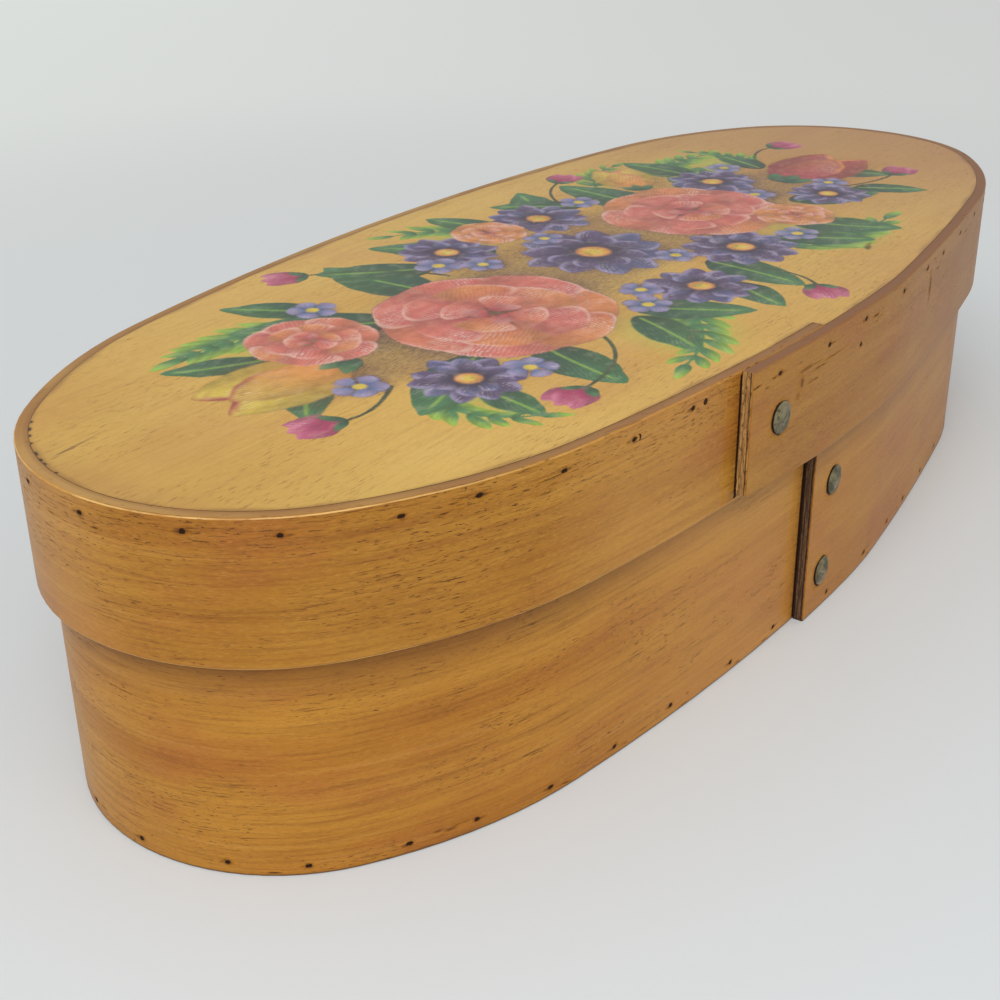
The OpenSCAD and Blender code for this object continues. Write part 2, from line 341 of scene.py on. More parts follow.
def ply_look(look, seed, ground, shade, stretches):
    """The outside of the varnished strip: its colour and the depth of its pores. Stretches of
    painted shade, darker, and of painted light, paler, are given as (fades in from, to, fades out
    from, to, strength, colour)."""
    strip = look.attribute("strip")
    figure = look.grain(strip, (6, 40, 55), (seed, 0, 0), bend=0.6)
    clouds = look.grain(strip, (22, 9, 60), (0, seed, 0), detail=4, rough=0.6)
    lines = look.grain(strip, (34, 400, 1100), (0, 0, seed), detail=4, rough=0.65)
    bands = look.grain(strip, (9, 90, 330), (0, seed, 0), detail=4, rough=0.6, bend=0.3)
    fibres = look.grain(strip, (600, 900, 2900), (0, seed, seed), rough=0.7)
    flecks = look.grain(strip, (420, 600, 2900), (seed, seed, 0), rough=0.6)
    streaks = look.grain(strip, (110, 500, 2300), (seed, 0, 0), rough=0.6, bend=0.4)
    patches = look.grain(strip, (22, 20, 70), (seed, 0, seed), detail=4, rough=0.6)
    along, _, up = look.split(strip)
    calm = look.ramp(along, 0.12, 0.3, 0.5, 1)
    colour = look.blend(look.ramp(figure, 0.32, 0.68), ground, shade)
    colour = look.layers(colour, (
        (clouds, 0.48, 0.68, 0.4, srgb(166, 92, 44)),
        (clouds, 0.48, 0.3, 0.35, srgb(188, 136, 50)),
    ))
    colour = look.layers(colour, (
        (bands, 0.5, 0.72, 0.34, srgb(138, 78, 30)),
        (bands, 0.48, 0.3, 0.26, srgb(208, 154, 76)),
        (lines, 0.45, 0.72, 0.46, srgb(116, 64, 18)),
    ), calm)
    colour = look.layers(colour, (
        (fibres, 0.5, 0.72, 0.34, srgb(120, 70, 22)),
        (fibres, 0.46, 0.28, 0.26, srgb(216, 164, 82)),
    ))
    brow = look.times(look.ramp(up, 0.074, 0.081), look.ramp(along, 0.7, 0.79))
    crowd = look.plus(look.ramp(patches, 0.46, 0.6), look.times(brow, 0.7), clamp=True)
    long_pores = look.ramp(streaks, 0.6, 0.7, 0, 0.85)
    pores = look.math("MAXIMUM", look.ramp(flecks, 0.6, 0.7), long_pores)
    pores = look.times(pores, look.plus(look.times(crowd, 0.86), 0.14))
    pores = look.times(pores, calm)
    colour = look.blend(look.times(pores, 0.92), colour, srgb(80, 38, 10))
    # Dirt and painted shade darken the base band just below the lid's lower edge.
    dirt_and_shade_under_lid = look.times(look.ramp(up, 0.041, 0.054), look.ramp(up, 0.0556, 0.0552))
    dirt_and_shade_under_lid = look.times(dirt_and_shade_under_lid, look.ramp(patches, 0.3, 0.6, 0.25, 0.5))
    colour = look.blend(dirt_and_shade_under_lid, colour, srgb(104, 68, 38))
    # Painted shade: the strip is darker and redder round the far end of the box, away from the
    # light.
    far_end_shade = look.times(look.ramp(along, 0.09, 0.22), look.ramp(along, 0.52, 0.4))
    colour = look.blend(look.times(far_end_shade, 0.42), colour, srgb(126, 66, 30))
    # Stretches of painted shade and painted light along the strip, where the light falls less or
    # more.
    for low, high, back, end, strength, tone in stretches:
        stretch = look.ramp(along, low, high, 0, strength)
        stretch = look.times(stretch, look.ramp(along, back, end, 1, 0))
        colour = look.blend(stretch, colour, tone)
    return colour, pores


def three_ply(name, ply, core_light, core_dark, outer_line, inner_gap_shadow):
    """Varnished three-ply: grained faces, plies and glue lines on the edges, raw wood inside, and
    painted shade and highlight on the rim and the end of the lap.
    """
    look = Finish(name)
    colour, pores = ply_look(look, *ply)
    strip = look.attribute("strip")
    along, under, up = look.split(strip)
    cut = look.attribute("cut", "Fac")
    uncut = look.minus(1, cut)
    tilt = look.facing()[2]
    wobble = look.grain(strip, (60, 900, 420))
    depth = look.math("DIVIDE", under, BAND_THICKNESS * MM)
    depth = look.plus(depth, look.times(look.minus(wobble, 0.5), 0.16))

    # The end of the lap shows the open fibres of the core between dark lines of glue, and a line
    # of painted shadow along its inner edge, where it stands off the layer beneath.
    fibres = look.grain(strip, (1500, 2200, 160))
    pits = look.grain(strip, (900, 1500, 700))
    core = look.blend(look.ramp(fibres, 0.35, 0.65), core_light, core_dark)
    core = look.blend(look.ramp(pits, 0.52, 0.7, 0, 0.7), core, srgb(70, 40, 20))
    colour = look.blend(look.times(cut, look.ramp(depth, 0.06, 0.14)), colour, core)
    for glue, wide in ((0.25, outer_line), (0.62, 0.03), (0.98, inner_gap_shadow)):
        gap = look.math("ABSOLUTE", look.minus(depth, glue))
        line = look.times(look.ramp(gap, wide * 0.3, wide, 0.92, 0), cut)
        colour = look.blend(line, colour, srgb(44, 22, 10))

    # The rim has two faint lines of glue and is worn pale outside, with a painted highlight along
    # its rounded edge; towards the board it is painted darker as shade.
    for glue in (0.34, 0.66):
        gap = look.math("ABSOLUTE", look.minus(depth, glue))
        line = look.times(look.ramp(gap, 0, 0.08, 0.28, 0), uncut)
        colour = look.blend(line, colour, srgb(84, 46, 24))
    soft = look.grain(strip, (26, 60, 60))
    rim = look.blend(look.ramp(soft, 0.35, 0.65), srgb(190, 148, 84), srgb(168, 122, 66))
    brown = look.plus(look.ramp(along, 0.34, 0.16, 0, 0.75), look.ramp(along, 0.82, 0.91, 0, 0.7))
    rim = look.blend(brown, rim, srgb(140, 92, 56))
    flat = look.times(look.ramp(tilt, 0.9, 1.0), uncut)
    colour = look.blend(look.times(flat, 0.85), colour, rim)
    # Painted shade: the rim darkens towards the board and into the seam beside it.
    inner = look.times(look.ramp(depth, 0.45, 0.95, 0, 0.45), look.ramp(tilt, 0.1, 0.4))
    colour = look.blend(inner, colour, srgb(132, 86, 42))
    raw = look.times(look.ramp(depth, 0.92, 1.0), uncut)
    colour = look.blend(look.times(raw, 0.75), colour, srgb(205, 168, 116))
    seam = look.times(look.ramp(depth, 0.9, 0.98), look.ramp(tilt, 0.1, 0.4))
    seam = look.times(seam, look.ramp(up, 0.086, 0.088, 0, 0.85))
    colour = look.blend(seam, colour, srgb(92, 56, 26))
    # Painted shade: the rim and the rounded edges are darker round the far end of the box.
    edge = look.times(look.ramp(tilt, 0.15, 0.4), look.ramp(along, 0.4, 0.2, 0, 0.75))
    colour = look.blend(edge, colour, srgb(134, 86, 48))
    scuffs = look.grain(strip, (70, 120, 120))
    # Wear and a painted highlight make the rounded outer top edge pale, strongest along the back
    # and round the left end.
    wear_and_highlight = look.times(look.ramp(tilt, 0.3, 0.5), look.ramp(tilt, 0.92, 0.72))
    wear_and_highlight = look.times(wear_and_highlight, look.ramp(scuffs, 0.35, 0.6, 0.2, 0.8))
    wear_and_highlight = look.times(wear_and_highlight, uncut)
    wear_and_highlight_along = look.ramp(along, 0.4, 0.62, 0.1, 1)
    wear_and_highlight_along = look.times(wear_and_highlight_along, look.ramp(along, 0.82, 0.91, 1, 0.22))
    colour = look.blend(look.times(wear_and_highlight, wear_and_highlight_along), colour, srgb(232, 190, 120))

    # The lower outer edge is pale, scuffed and with a painted highlight, and the foot of the box
    # is darkened by dirt from standing and by painted contact shadow.
    scuffed_and_highlight = look.times(look.ramp(tilt, -0.15, -0.5), look.ramp(scuffs, 0.35, 0.6, 0.4, 0.95))
    scuffed_and_highlight = look.times(scuffed_and_highlight, look.ramp(under, 0, 0.001, 1, 0))
    colour = look.blend(scuffed_and_highlight, colour, srgb(214, 166, 96))
    colour = look.blend(look.ramp(up, 0.0003, 0.0009, 0.8, 0), colour, srgb(62, 42, 30))
    look.shader.inputs["Specular IOR Level"].default_value = 0.22
    relief = look.minus(look.times(wobble, 0.2), pores)
    relief = look.minus(relief, look.times(look.times(pits, cut), 2.5))
    look.relief(relief, 0.0001)
    return look.finish(colour, look.ramp(look.math("MAXIMUM", pores, cut), 0, 1, 0.38, 0.7))


# Painted shade and painted light for the stretches of the bands that lie less or more in the
# light.
PAINTED_SHADE_PLY = srgb(118, 62, 24)
PAINTED_LIGHT_PLY = srgb(226, 170, 96)
BASE_PLY = (3.1, srgb(190, 133, 46), srgb(176, 115, 34), (
    (0.715, 0.735, 0.8, 0.845, 0.14, PAINTED_SHADE_PLY),
    (0.84, 0.9, 0.98, 1, 0.2, PAINTED_LIGHT_PLY),
))
BASE_CORE = (srgb(116, 88, 62), srgb(74, 54, 38))
GLUE_LINE = 0.07
# The dark line along the inner edge of the lap's end is painted shadow.
OPEN_GAP_SHADOW = 0.24
measure_strip("base_band", BASE_LAP, BASE_INSET)
dress("base_band", three_ply("base_three_ply", BASE_PLY, *BASE_CORE, GLUE_LINE, OPEN_GAP_SHADOW))

# Wear, dirt and painted shadow on the outside of the base band: rust has run into the grain round
# the nails, dust and painted shadow lie round the rivets, and the end of the lap stands off with a
# painted shadow line beside it. The rivets are given as (how far in from the end of the lap,
# height).
MARK_LIFT = 0.03
MARK_SINK = 0.06
MARK_STEP = 0.35
NAIL_SPACING = 24
NAIL_WANDER = 1.6


def ease(value, low, high):
    t = np.clip((value - low) / (high - low), 0, 1)
    return t * t * (3 - 2 * t)


def nail_places(lap, height):
    """Where the nails are set, as (along the strip, height)."""
    places = []
    start = 0
    for k, (_, radius, low, high) in enumerate(strip_path(lap)):
        length = (high - low) * radius
        count = max(1, round(length / NAIL_SPACING))
        for i in range(count):
            wander = NAIL_WANDER * math.sin(math.radians(137 * (3 * k + i)))
            rise = NAIL_WANDER / 4 * math.sin(math.radians(211 * (2 * k + i)))
            places.append((start + length * (i + 0.5) / count + wander, height + rise))
        start += length
    return places


def run_at(x, lap, inset, outer):
    """How far along the strip the point of the front at x is, on its outer or inner layer."""
    out = inset if outer else inset + LAP_STEP
    centre, radius, _, _ = strip_path(lap)[0]
    turn = math.asin(x / radius) - math.pi / 2
    plan = centre + (radius - out) * towards(turn)
    return along_strip(plan[None], lap, inset)[0][0]


def marks_on_strip(lap, low, high, marks, seed):
    """How dark each point of the outside is, from marks of (along, height, half length, half
    height, strength, softness)."""
    total = sum((end - begin) * radius for _, radius, begin, end in strip_path(lap))
    run, up = np.meshgrid(
        np.arange(0.05, total, MARK_STEP), np.arange(low, high, MARK_STEP), indexing="ij")
    dark = np.zeros(run.shape)
    rough = np.random.RandomState(seed)
    for along, height, long, tall, strength, soft in marks:
        near = slice(*np.searchsorted(run[:, 0], (along - 1.6 * long - 2, along + 1.6 * long + 2)))
        a, b = run[near] - along, up[near] - height
        b = b + 0.12 * min(tall, 2) * np.sin(a * rough.uniform(0.6, 1.4) + rough.uniform(0, 6))
        gap = np.hypot(a / long, b / tall)
        dark[near] = np.maximum(dark[near], strength * ease(gap, 1 + soft, 1 - soft))
    cells = np.maximum.reduce([dark[:-1, :-1], dark[1:, :-1], dark[:-1, 1:], dark[1:, 1:]]) > 0.004
    return run, up, dark, cells


def on_strip(run, lap, out):
    """The plan of points at a distance along the strip, "out" beyond its outer face."""
    plan = np.zeros((len(run), 2))
    start = 0
    for centre, radius, low, high in strip_path(lap):
        length = (high - low) * radius
        here = (run >= start) & (run <= start + length)
        angle = low + (run[here] - start) / radius
        heading = np.stack([np.cos(angle), np.sin(angle)], 1)
        plan[here] = centre + (radius + out[here])[:, None] * heading
        start += length
    return plan


def thin_sheet(name, cells, place, readings):
    """A mesh of the kept cells of a grid, with a reading of each kind at each corner."""
    used = np.zeros((cells.shape[0] + 1, cells.shape[1] + 1), bool)
    for dx in (0, 1):
        for dy in (0, 1):
            used[dx:dx + cells.shape[0], dy:dy + cells.shape[1]] |= cells
    index = np.full(used.shape, -1)
    index[used] = np.arange(used.sum())
    i, j = np.nonzero(cells)
    quads = np.stack([index[i, j], index[i + 1, j], index[i + 1, j + 1], index[i, j + 1]], 1)
    mesh = bpy.data.meshes.new(name)
    mesh.from_pydata((place(used) * MM).tolist(), [], quads.tolist())
    for key, reading in readings.items():
        values = reading(used)
        kind, field = ("FLOAT", "value") if values.ndim == 1 else ("FLOAT_VECTOR", "vector")
        mesh.attributes.new(key, kind, "POINT").data.foreach_set(field, values.ravel())
    piece = bpy.data.objects.new(name, mesh)
    bpy.context.scene.collection.objects.link(piece)
    return piece


def marks_sheet(name, lap, inset, low, high, marks, seed, look_of):
    """Lays the marks on the outside of a strip, in the strip's own grain."""
    run, up, dark, cells = marks_on_strip(lap, low, high, marks, seed)

    def place(used):
        lift = -MARK_SINK + (MARK_LIFT + MARK_SINK) * ease(dark[used], 0, 0.03)
        return np.column_stack([on_strip(run[used], lap, lift - inset), up[used]])

    def strip(used):
        return np.stack([run[used], np.zeros(used.sum()), up[used]], 1) * MM

    piece = thin_sheet(name, cells, place, {"strip": strip, "mark": lambda used: dark[used]})
    piece.data.materials.append(look_of)
    return piece


def marked_ply(name, ply):
    """The varnished strip where it is stained or painted with shadow: darkest in the grain."""
    look = Finish(name)
    colour, pores = ply_look(look, *ply)
    mark = look.attribute("mark", "Fac")
    grain = look.grain(look.attribute("strip"), (420, 500, 2200), rough=0.6)
    depth = look.plus(mark, look.times(look.minus(grain, 0.5), 0.9))
    depth = look.times(look.ramp(depth, 0.0, 0.9), look.ramp(mark, 0.0, 0.15))
    colour = look.blend(look.ramp(depth, 0.0, 0.6, 0, 0.6), colour, srgb(98, 58, 30))
    colour = look.blend(look.ramp(depth, 0.45, 1.0, 0, 0.96), colour, srgb(34, 14, 4))
    look.shader.inputs["Specular IOR Level"].default_value = 0.12
    look.relief(look.times(look.plus(pores, depth), -1), 0.0001)
    return look.finish(colour, look.ramp(depth, 0, 1, 0.38, 0.7))


def nail_stains(places, seed):
    """Round each nail a short dark run along the grain, no two alike."""
    rough = np.random.RandomState(seed)
    draw = rough.uniform
    marks = []
    for along, height in places:
        side = rough.choice((-1, 1))
        marks.append((along, height, draw(0.6, 0.8), draw(0.4, 0.52), 1.3, 0.3))
        marks.append((along, height, draw(1.1, 1.5), draw(0.8, 1.0), 0.45, 0.5))
        marks.append((along + side * 1.1, height - 0.1, draw(1.0, 2.2), draw(0.3, 0.4), 0.5, 0.6))
        for _ in range(rough.randint(0, 4)):
            marks.append((along - side * draw(2, 12), height - draw(-0.8, 3.6),
                          draw(0.8, 3), draw(0.16, 0.34), draw(0.4, 0.7), 0.6))
    return marks


def rivet_dirt_and_shadow(along, height):
    """A dark ring round a rivet's head, of dust and painted shadow, heavier below and behind."""
    return [
        (along - 0.45, height - 0.05, 4.5, 4.4, 0.9, 0.1),
        (along - 0.6, height - 0.3, 4.9, 4.8, 0.3, 0.25),
    ]


BASE_NAIL_HEIGHT = 3
BASE_RIVETS = ((12.8, 39.4), (9.5, 12.4))
BASE_OUTSIDE = (0.7, 54.6)
BASE_LAP_RUN = run_at(BASE_LAP[0], BASE_LAP, BASE_INSET, False)
base_marks = nail_stains(nail_places(BASE_LAP, BASE_NAIL_HEIGHT), 11)
for rivet_inset, rivet_height in BASE_RIVETS:
    rivet_run = run_at(BASE_LAP[0] + rivet_inset, BASE_LAP, BASE_INSET, True)
    base_marks += rivet_dirt_and_shadow(rivet_run, rivet_height)
base_marks += [
    # Painted shadow beside the end of the lap: a dark line at the end and a soft shade beyond it.
    (BASE_LAP_RUN, 30, 1.0, 60, 1.0, 0.2),
    (BASE_LAP_RUN, 30, 4.5, 90, 0.3, 0.8),
]
base_marks_film = marks_sheet(
    "base_band_marks", BASE_LAP, BASE_INSET, *BASE_OUTSIDE, base_marks, 5,
    marked_ply("base_marked_ply", BASE_PLY))
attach(base_marks_film, "base")

# The base board closes the bottom, let into the base band and nailed through it. It is one flat
# board of pale close-grained wood, raw inside and rubbed honey yellow underneath. Its grain runs
# the length of the box.


def board_look(look, ground, shade):
    """The pale board's colour, from its own grain along the box."""
    place = look.place()
    figure = look.grain(place, (4, 34, 3), (0.3, 0, 0), bend=0.8)
    lines = look.grain(place, (40, 900, 20), detail=4, rough=0.65)
    fibres = look.grain(place, (520, 2400, 400), rough=0.7)
    flecks = look.grain(place, (240, 1900, 90), rough=0.6)
    patches = look.grain(place, (26, 60, 9), detail=4, rough=0.6)
    clouds = look.grain(place, (16, 34, 9), detail=4, rough=0.6)
    length = look.split(place)[0]
    colour = look.blend(look.ramp(figure, 0.32, 0.68), ground, shade)
    colour = look.layers(colour, (
        (clouds, 0.46, 0.68, 0.4, srgb(204, 146, 78)),
        (clouds, 0.46, 0.3, 0.4, srgb(222, 186, 92)),
        (lines, 0.46, 0.74, 0.24, srgb(154, 106, 44)),
        (fibres, 0.5, 0.72, 0.26, srgb(160, 112, 52)),
        (fibres, 0.46, 0.28, 0.24, srgb(238, 204, 130)),
        (length, -0.14, -0.18, 0.32, srgb(188, 140, 48)),
        (length, -0.182, -0.198, 0.3, srgb(160, 104, 56)),
        # Painted shade: the board is darker and redder towards the far end.
        (length, 0.03, 0.19, 0.62, srgb(178, 120, 76)),
    ))
    pores = look.times(look.ramp(flecks, 0.58, 0.68), look.ramp(patches, 0.42, 0.6, 0.06, 1))
    colour = look.blend(look.times(pores, 0.5), colour, srgb(126, 80, 30))
    look.shader.inputs["Specular IOR Level"].default_value = 0.35
    return colour, pores


def pale_board(name, ground, shade, varnished):
    """A pale board. The varnished side, 1 for the top and -1 for the underside, is honey yellow,
    and the other is left raw."""
    look = Finish(name)
    colour, pores = board_look(look, ground, shade)
    side = look.times(look.facing()[2], varnished)
    raw = look.ramp(side, -0.4, 0.2, 1, 0)
    colour = look.blend(look.times(raw, 0.7), colour, srgb(212, 180, 134))
    # Painted shade on the board's rounded edge beside the seam.
    rounded_edge_shade = look.times(look.ramp(side, 0.2, 0.4), look.ramp(side, 0.99, 0.8, 0, 0.8))
    colour = look.blend(rounded_edge_shade, colour, srgb(104, 66, 30))
    mark = look.attribute("mark", "Fac")
    colour = look.layers(colour, (
        (mark, 0, 0.5, 0.6, srgb(126, 78, 32)),
        (mark, 0.45, 1, 0.9, srgb(48, 26, 12)),
    ))
    look.relief(look.times(pores, -1), 0.00006)
    return look.finish(colour, look.ramp(raw, 0, 1, 0.33, 0.65))


BASE_GROUND = srgb(206, 166, 100)
BASE_SHADE = srgb(192, 150, 88)
dress("base_board", pale_board("base_pale_board", BASE_GROUND, BASE_SHADE, -1))

# The lid band is a shallower strip of the same three-ply. Its outer top edge is pale, worn by
# handling and lit with a painted highlight, and its lap ends in a square cut that shows the three
# plies.
# The lid's lap end has a thinner line of painted shadow.
CLOSED_GAP_SHADOW = 0.06
LID_CORE = (srgb(190, 146, 86), srgb(144, 102, 56))
LID_PLY = (7.7, srgb(178, 124, 40), srgb(164, 108, 30), (
    (0.775, 0.805, 0.84, 0.885, 0.15, PAINTED_SHADE_PLY),
    (0.72, 0.745, 0.765, 0.79, 0.2, PAINTED_LIGHT_PLY),
    (0.87, 0.905, 0.92, 0.945, 0.18, PAINTED_LIGHT_PLY),
    (-0.02, 0.02, 0.15, 0.2, 0.12, PAINTED_SHADE_PLY),
))
measure_strip("lid_band", LID_LAP, 0)
dress("lid_band", three_ply("lid_three_ply", LID_PLY, *LID_CORE, GLUE_LINE, CLOSED_GAP_SHADOW))

# The same wear and painted shadow on the lid band: rust at the nails, dust and painted shadow
# round the rivet, painted shadow in the lap's corner, and a few scribbled scratches and knocks
# beside the rivet.
LID_NAIL_HEIGHT = 85.5
LID_RIVET_INSET = 14.4
LID_RIVET_HEIGHT = 73.3
LID_OUTSIDE = (55.8, 88.2)
LID_LAP_RUN = run_at(LID_LAP[0], LID_LAP, 0, False)
lid_marks = nail_stains(nail_places(LID_LAP, LID_NAIL_HEIGHT), 23)
lid_marks += rivet_dirt_and_shadow(run_at(LID_LAP[0] + LID_RIVET_INSET, LID_LAP, 0, True), LID_RIVET_HEIGHT)
lid_marks += [
    # Painted shadow beside the end of the lap: a dark line at the end and a soft shade beyond it.
    (LID_LAP_RUN, 72, 0.55, 60, 0.95, 0.3),
    (LID_LAP_RUN, 72, 4.0, 90, 0.3, 0.8),
    (26, 82.5, 4.0, 0.5, 0.5, 0.6),
    (33, 80.8, 5.5, 0.35, 0.45, 0.6),
    (30, 78.2, 3.0, 0.4, 0.5, 0.6),
    (24, 79.5, 0.9, 1.8, 0.45, 0.6),
    (41, 81.6, 6.0, 0.3, 0.4, 0.6),
    (22.5, 76.2, 1.2, 1.0, 0.4, 0.7),
    (118, 78.5, 1.0, 4.0, 0.5, 0.6),
    (58, 79.5, 0.9, 0.7, 0.8, 0.4),
]
lid_marks_film = marks_sheet(
    "lid_band_marks", LID_LAP, 0, *LID_OUTSIDE, lid_marks, 9,
    marked_ply("lid_marked_ply", LID_PLY))
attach(lid_marks_film, "lid")

# The lid board is a flat board of the same pale wood, let into the lid band flush with its rim and
# varnished honey yellow with it.
LID_GROUND = srgb(224, 182, 91)
LID_SHADE = srgb(214, 167, 77)
lid_honey_board = pale_board("lid_honey_board", LID_GROUND, LID_SHADE, 1)
dress("lid_board", lid_honey_board)

# The lid is painted freehand in thin oil pastel, before the varnish: a common folk garland of
# roses, asters and tulips with their leaves. The colour lies as a film on the board, thin at its
# edges, and shows the grain and the strokes that build it up.
FILM_LIFT = 0.03
PAINT_STEP = 0.58
PAINT_LOW = np.array((-197.5, -80.5))
PAINT_HIGH = np.array((197.5, 77.5))
STROKE_PITCH = 1.15
THINNEST_PAINT = 0.015

CORAL = srgb(226, 118, 104)
SHELL_PINK = srgb(240, 184, 168)
DEEP_ROSE = srgb(186, 72, 84)
APRICOT = srgb(232, 150, 74)
INDIGO = srgb(44, 40, 78)
VIOLET = srgb(88, 72, 122)
LILAC = srgb(160, 150, 192)
SKY = srgb(82, 108, 160)
CANARY = srgb(226, 196, 74)
BRICK = srgb(178, 76, 72)
MAGENTA = srgb(172, 44, 98)
PALE_MAGENTA = srgb(222, 128, 158)
PINE = srgb(24, 88, 70)
LEAF_GREEN = srgb(62, 128, 84)
LIME = srgb(160, 200, 74)
TWIG = srgb(58, 74, 50)
UMBER = srgb(96, 58, 46)
PLUM = srgb(62, 34, 60)
WORN_BROWN = srgb(90, 54, 24)

paint_x, paint_y = np.meshgrid(
    np.arange(PAINT_LOW[0], PAINT_HIGH[0], PAINT_STEP),
    np.arange(PAINT_LOW[1], PAINT_HIGH[1], PAINT_STEP),
    indexing="ij",
)
paint_colour = np.zeros((*paint_x.shape, 3))
paint_cover = np.zeros(paint_x.shape)
paint_phase = np.zeros(paint_x.shape)
paint_light = np.zeros(paint_x.shape)
paint_dark = np.zeros(paint_x.shape)
hand = np.random.RandomState(5)


def mixed(a, b, share):
    share = np.asarray(share)[..., None]
    return np.asarray(a) * (1 - share) + np.asarray(b) * share


def paint_near(centre, reach):
    """The part of the painting within reach of a point."""
    low = np.floor((np.asarray(centre) - reach - PAINT_LOW) / PAINT_STEP).astype(int)
    high = np.ceil((np.asarray(centre) + reach - PAINT_LOW) / PAINT_STEP).astype(int)
    low, high = np.maximum(low, 0), np.minimum(high, paint_x.shape)
    return slice(low[0], high[0]), slice(low[1], high[1])


def lay(where, mask, colour, phase=0, light=0, dark=0):
    """Lays one touch of colour over what is there, with the light and dark strokes drawn in it."""
    paint_colour[where] = mixed(paint_colour[where], colour, mask / np.maximum(
        mask + paint_cover[where] * (1 - mask), 1e-6))
    paint_cover[where] = mask + paint_cover[where] * (1 - mask)
    solid = mask > 0.5
    paint_phase[where] = np.where(solid, phase, paint_phase[where])
    paint_light[where] = paint_light[where] * (1 - mask) + mask * light
    paint_dark[where] = paint_dark[where] * (1 - mask) + mask * dark


def wavy(x, y, size):
    """The small unsteadiness of a hand, in millimetres."""
    first = np.sin(0.61 * x + 1.3 * np.sin(0.37 * y))
    second = np.sin(0.53 * y + 1.7 * np.sin(0.29 * x))
    return size * (first + second) / 2


def ahead_and_aside(where, foot, angle):
    """How far each spot lies ahead of a foot, along an angle, and how far to its left."""
    dx, dy = paint_x[where] - foot[0], paint_y[where] - foot[1]
    ahead = dx * math.cos(angle) + dy * math.sin(angle)
    return ahead, dy * math.cos(angle) - dx * math.sin(angle)


def petal(foot, angle, length, width, root, tip, full=1.3, bend=0, soft=0.6, light=0.7, dark=0.35,
          rim=None, strength=0.95, lean=0.5):
    """One petal or leaf from its foot, widest towards its tip where full is over 1."""
    foot = np.asarray(foot, float)
    middle = foot + towards(angle) * length / 2
    where = paint_near(middle, 0.75 * length + width)
    ahead, aside = ahead_and_aside(where, foot, angle)
    along = ahead / length
    across = aside / (width / 2) - bend * along**2 * length / (width / 2)
    inside = np.clip(along, 1e-4, 1 - 1e-4)
    half = np.sin(math.pi * inside**full) ** 0.72
    margin = (half - np.abs(across)) * width / 2
    margin = np.minimum(margin, np.minimum(along, 1 - along) * length * 1.4)
    margin = margin + wavy(paint_x[where], paint_y[where], 0.4)
    mask = ease(margin, -soft, soft) * strength
    colour = mixed(root, tip, ease(along + 0.25 * across * lean, 0.15, 0.95))
    lit = 0.2 + 0.8 * ease(across * math.copysign(1, lean), 0.35, -0.5)
    if rim is not None:
        colour = mixed(colour, rim, ease(margin, 2.6, 0.2) * ease(along, 0.3, 0.8) * lit)
    shade = ease(across * lean * 2, 0.1, 1.0) * 0.3 + ease(along, 0.25, 0.0) * 0.35
    colour = colour * (1 - shade[..., None])
    phase = (across * width / 2 * 0.9 + along * length * 0.28) / STROKE_PITCH
    strokes = ease(margin, 0.3, 1.2) * ease(along, 0.25, 0.75) * lit * light
    lay(where, mask, colour, phase, strokes, ease(margin, 0.2, 1.4) * dark)


def leaf(foot, angle, length, width, bend=0.0, deep=PINE, bright=LEAF_GREEN):
    """A pointed leaf with a pale midrib, hatched from the midrib outwards."""
    petal(foot, angle, length, width, deep, bright, full=0.8, bend=bend, light=0.25, dark=0.8,
          lean=1)
    foot = np.asarray(foot, float)
    where = paint_near(foot + towards(angle) * length / 2, 0.75 * length + width)
    ahead, aside = ahead_and_aside(where, foot, angle)
    along = ahead / length
    across = aside - bend * along**2 * length
    rib = ease(np.abs(across), 0.75, 0.2) * ease(along, 0.02, 0.1) * ease(along, 0.95, 0.8)
    lay(where, rib * 0.6, LIME)


def on_curve(a, b, c, t):
    """The point at a share t of the curve drawn from a to c, pulled towards b."""
    return (1 - t) ** 2 * a + 2 * t * (1 - t) * b + t**2 * c


def stem(points, thick=0.9, colour=TWIG, strength=0.85):
    """A thin line drawn through three points as one curve."""
    a, b, c = (np.asarray(p, float) for p in points)
    where = paint_near((a + c) / 2, np.abs(a - c).max() / 2 + np.abs(b - (a + c) / 2).max() + 4)
    gap = np.full(paint_x[where].shape, np.inf)
    for t in np.linspace(0, 1, 90):
        at = on_curve(a, b, c, t)
        gap = np.minimum(gap, np.hypot(paint_x[where] - at[0], paint_y[where] - at[1]))
    lay(where, ease(gap, thick, thick * 0.3) * strength, colour)


def round_patch(centre, reach):
    """The part of the painting round a point, and how far out each spot of it lies, up to 1."""
    where = paint_near(centre, reach)
    out = np.hypot(paint_x[where] - centre[0], paint_y[where] - centre[1])
    return where, out / reach


def haze(centre, reach, colour=UMBER, strength=0.4):
    """A soft rubbed shadow under a flower."""
    where, gap = round_patch(centre, reach)
    lay(where, ease(gap, 1, 0.35) * strength, colour)


